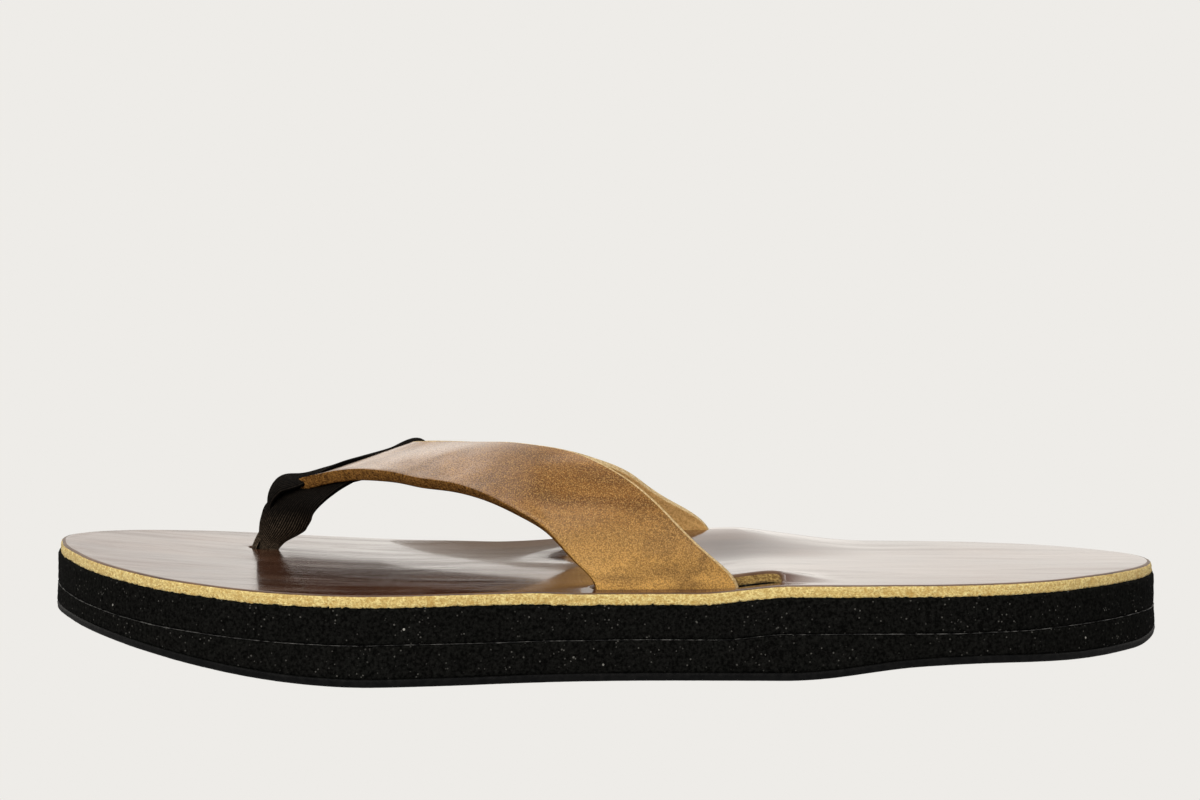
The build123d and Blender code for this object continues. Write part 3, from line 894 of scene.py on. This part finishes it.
def make_strap():
    """One leather band from slot to slot, bowed over the foot, folded round the nose."""
    front, back = strap_stations(ROWS)
    middle = (front + back) / 2
    along = unit(np.gradient(middle, axis=0))
    side = unit(back - front)
    normal = unit(np.cross(side, along))
    width = np.linalg.norm(back - front, axis=1)
    arms = smooth((middle[:, 2] - ARM_FOOT) / ARM_RAMP)
    bridge = smooth(1 - np.linalg.norm(middle - (NOSE + NOTCH) / 2, axis=1) / BRIDGE_REACH)
    v = np.append(np.linspace(0, EDGE_START, COLUMNS - 1), 1.0)
    half = STRAP_T / 2
    rings = []
    for i, u in enumerate(np.linspace(0, 1, ROWS)):
        bow = (BOW - BRIDGE_DIP * bridge[i]) * (1 - (2 * v - 1) ** 2) * arms[i]
        uneven = waves(np.full(COLUMNS, u * 40), v * 3.0, 51, low=0.4, high=1.2)
        bow = bow + UNEVEN_FACE * uneven * arms[i]
        ahead = edge_wander(u, 0.0, 52) * arms[i]
        behind = edge_wander(u, 5.0, 53) * arms[i]
        base = front[i] + np.outer(v * (width[i] + ahead + behind) - ahead, side[i])
        thick = half * (1 + LIP_THICKER * np.exp(-((v * width[i]) / LIP_REACH) ** 2) * arms[i])
        top = base + np.outer(bow + thick, normal[i])
        under = base + np.outer(bow - thick, normal[i])
        back_edge = [base[-1] + side[i] * e * EDGE_REACH + normal[i] * (bow[-1] + half * h)
                     for e, h in EDGE_ROUND]
        front_edge = [base[0] - side[i] * e * EDGE_REACH + normal[i] * (bow[0] + thick[0] * h)
                      for e, h in EDGE_ROUND[::-1]]
        rings.append(np.vstack([top, back_edge, under[::-1], front_edge]))
    verts, faces = loft(rings)
    grain, lit_back_raw, flesh, shaded_front_raw = range(4)
    pattern = [grain] * (COLUMNS - 2) + [lit_back_raw] * 6 + [flesh] * (COLUMNS - 1) + [shaded_front_raw] * 5
    face_mats = pattern * (ROWS - 1) + [lit_back_raw] * (2 * len(rings[0]))
    # painted highlight: the back edge and the end caps take a light copy of the cut edge, as where it
    # catches the light
    lit_back_edge_mat = raw_edge("strap_back_edge_lit", (0.86, 0.66, 0.36), (0.50, 0.32, 0.12))
    # painted shade: the front edge takes a dark copy of the cut edge, as on the strap's shaded underside
    shaded_front_edge_mat = raw_edge("strap_front_edge_shaded", (0.38, 0.18, 0.045), (0.050, 0.020, 0.006),
                              sheen=0.0, specular=0.05)
    new_object("strap_leather", verts, faces, ["strap"],
               [strap_leather(), lit_back_edge_mat, suede(), shaded_front_edge_mat], face_mats)


# ---- toe thong --------------------------------------------------------------------
# Webbing, end to end: centre, width, direction across from the outer selvedge to the
# inner one, and how far its section curls, in degrees (positive bulges out of the loop).
def laid(run, above=0.0):
    """A place on the lower foam's recess, along the webbing's heading from the hole."""
    x, y = HOLE + WEB_HEADING * run
    return (x, y, float(seam(x)) - WEB_GAP - WEB_T / 2 + above)


WEB_STATIONS = [
    (laid(-24), 15.0, (0.2, 1.0, 0.0), 0),
    (laid(-14), 15.0, (0.2, 1.0, 0.0), 0),
    (laid(-6, 0.1), 12.0, (0.2, 1.0, 0.0), 0),
    (laid(-2.8, 0.9), 7.0, (0.2, 1.0, 0.0), 40),
    ((-93.0, 19.2, 15.0), 6.6, (0.1, 1.0, 0.0), 90),
    ((-93.0, 19.3, 20.5), 7.0, (0.0, 1.0, 0.0), 100),
    ((-91.6, 20.4, 24.5), 9.0, (-0.1, 1.0, 0.0), 80),
    ((-89.6, 21.2, 28.5), 12.0, (-0.12, 1.0, 0.0), 70),
    ((-88.6, 20.4, 33.0), 15.0, (-0.08, 1.0, 0.0), 66),
    ((-87.5, 18.6, 37.0), 17.0, (0.0, 1.0, 0.0), 80),
    ((-84.8, 17.8, 40.0), 18.0, (0.0, 1.0, 0.0), 105),
    ((-80.8, 17.9, 40.4), 16.0, (0.05, 1.0, 0.0), 80),
    ((-74.5, 19.6, 41.7), 14.0, (0.1, 1.0, -0.08), 24),
    ((-68.0, 20.8, 43.2), 13.0, (0.15, 1.0, -0.12), 6),
    ((-60.0, 18.6, 45.6), 12.0, (0.2, 1.0, -0.12), 10),
    ((-54.0, 15.4, 48.0), 11.0, (0.2, 1.0, -0.08), 40),
    ((-50.0, 12.6, 50.0), 9.5, (0.2, 1.0, 0.0), 70),
    ((-47.0, 11.2, 49.8), 9.0, (0.2, 1.0, 0.0), 70),
    ((-46.1, 10.9, 48.0), 9.0, (0.2, 1.0, 0.0), 50),
    ((-48.8, 11.1, 46.2), 9.5, (0.2, 1.0, 0.0), 10),
    ((-56.0, 12.6, 44.0), 13.0, (0.2, 1.0, 0.0), -20),
    ((-64.0, 13.6, 41.2), 16.0, (0.1, 1.0, 0.0), -40),
    ((-70.5, 12.8, 39.3), 18.0, (-0.15, 0.95, 0.05), -50),
    ((-75.0, 11.6, 37.6), 18.5, (-0.3, 0.9, 0.12), -66),
    ((-79.0, 10.8, 35.6), 16.5, (-0.5, 0.75, 0.32), -92),
    ((-82.0, 10.4, 32.6), 15.0, (-0.80, 0.42, 0.30), -112),
    ((-84.1, 10.9, 29.6), 15.0, (-0.93, 0.3, 0.1), -120),
    ((-86.4, 13.0, 26.2), 11.8, (-0.93, 0.38, 0.0), -125),
    ((-88.8, 15.8, 23.2), 8.4, (-0.9, 0.45, 0.0), -130),
    ((-89.6, 17.0, 20.0), 7.0, (-0.75, 0.66, 0.0), -120),
    ((-88.6, 17.6, 14.8), 6.6, (-0.3, 0.95, 0.0), -70),
    (laid(2.8, 0.9), 7.0, (0.2, 1.0, 0.0), -20),
    (laid(6, 0.1), 12.0, (0.2, 1.0, 0.0), 0),
    (laid(14), 15.0, (0.2, 1.0, 0.0), 0),
    (laid(24), 15.0, (0.2, 1.0, 0.0), 0),
]
WEB_RIBS, WEB_ROWS = 26, 300
RIB_DEPTH, RIB_SHARPNESS = 0.32, 0.6
LEAST_CURL = 0.02           # in radians, for the flat sections
SELVEDGE, THINNEST = 1.6, 0.05      # how sharply the band thins at its selvedges, and what is left of it
RIPPLE = 0.10               # waves in the band


def make_webbing():
    """Ribbed band lofted through its stations, with rounded selvedges."""
    across_count = WEB_RIBS * 4 + 1
    table = np.array([[*c, w, *a, math.radians(k)] for c, w, a, k in WEB_STATIONS])
    run = travel(table[:, :3])
    fine = cubic(run, table, np.linspace(0, run[-1], WEB_ROWS))
    centre, width, curl = fine[:, :3], fine[:, 3], fine[:, 7]
    tangent = unit(np.gradient(centre, axis=0))
    across = fine[:, 4:7]
    across = unit(across - tangent * np.sum(across * tangent, axis=1, keepdims=True))
    normal = np.cross(tangent, across)
    v = np.linspace(0, 1, across_count)
    rib = 1 - RIB_DEPTH + RIB_DEPTH * np.abs(np.sin(math.pi * WEB_RIBS * v)) ** RIB_SHARPNESS
    rings = []
    for i in range(WEB_ROWS):
        bend = curl[i] if abs(curl[i]) > LEAST_CURL else LEAST_CURL
        turn = (v - 0.5) * bend
        radius = width[i] / bend
        sideways = np.outer(radius * np.sin(turn), across[i])
        middle = centre[i] + sideways - np.outer(radius * (1 - np.cos(turn)), normal[i])
        up = np.outer(np.cos(turn), normal[i]) + np.outer(np.sin(turn), across[i])
        edge = np.sqrt(np.clip(1 - np.abs(2 * v - 1) ** (width[i] * SELVEDGE), THINNEST, 1))
        half = (WEB_T / 2 * rib * edge)[:, None]
        ripple = RIPPLE * waves(np.full(len(v), i * 0.16), v * 6, 71)[:, None]
        rings.append(np.vstack([middle + up * (half + ripple), (middle - up * (half - ripple))[::-1]]))
    verts, faces = loft(rings)
    # painted light and shade: the rib crests take a lit copy of the nylon, the valleys between them a
    # near-black shaded copy
    lit_crests = webbing_fabric("webbing_ribs_lit", (0.15, 0.11, 0.075), (0.018, 0.014, 0.011))
    shaded_valleys = webbing_fabric("webbing_valleys_shaded", (0.006, 0.005, 0.004), (0.001, 0.0009, 0.0008))
    band = [0 if j % 4 in (1, 2) else 1 for j in range(across_count - 1)] + [1]
    face_mats = (band * 2) * (WEB_ROWS - 1) + [1] * (4 * across_count)
    new_object("toe_webbing", verts, faces, ["toe_thong"], [lit_crests, shaded_valleys], face_mats)


# ---- stage, light and camera ------------------------------------------------------
BACKDROP = (0.855, 0.838, 0.807)
SENSOR, FOCAL_LENGTH = 36.0, 38.7
CAMERA_PLACE, CAMERA_DIP = (0.0, -0.327, 0.064), 0.53
# What is mirrored: the studio behind the sandal, by the sine of the angle above the horizon, and in front.
ROOM = [(0.0, (0.30, 0.29, 0.28)), (0.02, (1.16, 1.11, 1.04)), (0.56, (1.10, 1.06, 1.00)),
        (0.74, (0.40, 0.40, 0.40)), (1.0, (0.35, 0.35, 0.35))]
FRONT_ROOM = (0.22, 0.22, 0.22)
# The other sandal stands behind and shows only as a dark reflection in the footbed: outlines in x, z.
PAIR_Y = 75.0
PAIR = [
    ((0.018, 0.008, 0.005), [(-95, 31.5), (-68.6, 30.2), (-37.4, 33.3), (0, 36.4), (12.5, 39.6),
                             (14, 60), (-106, 60), (-104, 34)]),
    ((0.34, 0.28, 0.23), [(-66, 23.5), (-3, 18), (-3, 32.7), (-25, 31.0), (-52, 27.0)]),
]


def make_room():
    """An even pale backdrop for the eye, and a brighter back than front for what is mirrored."""
    world = bpy.data.worlds.new("studio")
    bpy.context.scene.world = world
    world.use_nodes = True
    tree = world.node_tree
    links = tree.links.new
    seen = tree.nodes["Background"]         # by the camera; the room is for every other ray
    seen.inputs[0].default_value = (*BACKDROP, 1)
    room = tree.nodes.new("ShaderNodeBackground")
    direction = tree.nodes.new("ShaderNodeTexCoord")
    split = tree.nodes.new("ShaderNodeSeparateXYZ")
    behind = tree.nodes.new("ShaderNodeValToRGB")
    facing = tree.nodes.new("ShaderNodeValToRGB")
    walls = tree.nodes.new("ShaderNodeMix")
    walls.data_type = "RGBA"
    ray = tree.nodes.new("ShaderNodeLightPath")
    blend = tree.nodes.new("ShaderNodeMixShader")
    fill_ramp(behind, ROOM)
    fill_ramp(facing, [(0.0, 0.0), (0.4, 1.0)])
    walls.inputs[6].default_value = (*FRONT_ROOM, 1)
    links(direction.outputs["Generated"], split.inputs[0])
    links(split.outputs["Z"], behind.inputs[0])
    links(split.outputs["Y"], facing.inputs[0])
    links(facing.outputs[0], walls.inputs[0])
    links(behind.outputs[0], walls.inputs[7])
    links(walls.outputs[2], room.inputs[0])
    links(ray.outputs["Is Camera Ray"], blend.inputs[0])
    links(room.outputs[0], blend.inputs[1])
    links(seen.outputs[0], blend.inputs[2])
    links(blend.outputs[0], tree.nodes["World Output"].inputs[0])


def make_pair():
    """Flat cut-outs standing where the other sandal of the pair would be, seen only in reflections."""
    verts, faces = [], []
    mesh = bpy.data.meshes.new("pair_reflection")
    for k, (colour, corners) in enumerate(PAIR):
        faces.append(tuple(range(len(verts), len(verts) + len(corners))))
        verts += [(x * MM, PAIR_Y * MM, z * MM) for x, z in corners]
        mesh.materials.append(Nodes(f"pair_{k}").set(color=colour, roughness=1.0, specular=0.0))
    mesh.from_pydata(verts, [], faces)
    mesh.polygons.foreach_set("material_index", list(range(len(PAIR))))
    pair = bpy.data.objects.new("pair_reflection", mesh)
    bpy.context.scene.collection.objects.link(pair)
    pair.visible_camera = False
    pair.visible_diffuse = False
    pair.visible_shadow = False


def area_light(name, place, target, size, power, color=(1, 1, 1), mirrored=True):
    data = bpy.data.lights.new(name, "AREA")
    data.shape = "RECTANGLE"
    data.size, data.size_y = size
    data.energy = power
    data.color = color
    light = bpy.data.objects.new(name, data)
    light.visible_glossy = mirrored
    light.location = place
    light.rotation_euler = (Vector(target) - Vector(place)).to_track_quat("-Z", "Y").to_euler()
    bpy.context.scene.collection.objects.link(light)


def make_lights():
    """Wide key from the front, hidden from the gloss; a small glint; soft light from above."""
    area_light("key", (-0.15, -0.95, 0.42), (0, 0, 0.03), (1.4, 0.9), 12.0, (1.0, 0.97, 0.92), False)
    area_light("glint", (-0.45, -0.75, 0.75), (0, 0, 0.03), (0.7, 0.5), 1.4, (1.0, 0.98, 0.95))
    area_light("top", (0.15, 0.2, 0.9), (0, 0, 0), (0.8, 0.5), 3.0)


def make_camera():
    """Level with the strap, close to the sandal's outer side, looking a touch down."""
    data = bpy.data.cameras.new("camera")
    data.sensor_width = SENSOR
    data.lens = FOCAL_LENGTH
    data.clip_start = 0.01
    camera = bpy.data.objects.new("camera", data)
    camera.location = CAMERA_PLACE
    camera.rotation_euler = (math.radians(90 - CAMERA_DIP), 0, 0)
    bpy.context.scene.collection.objects.link(camera)
    bpy.context.scene.camera = camera


# ---- build --------------------------------------------------------------------------
bpy.context.scene.view_settings.view_transform = "Standard"
make_camera()
make_room()
make_pair()
make_lights()
make_sole()
make_strap()
make_webbing()
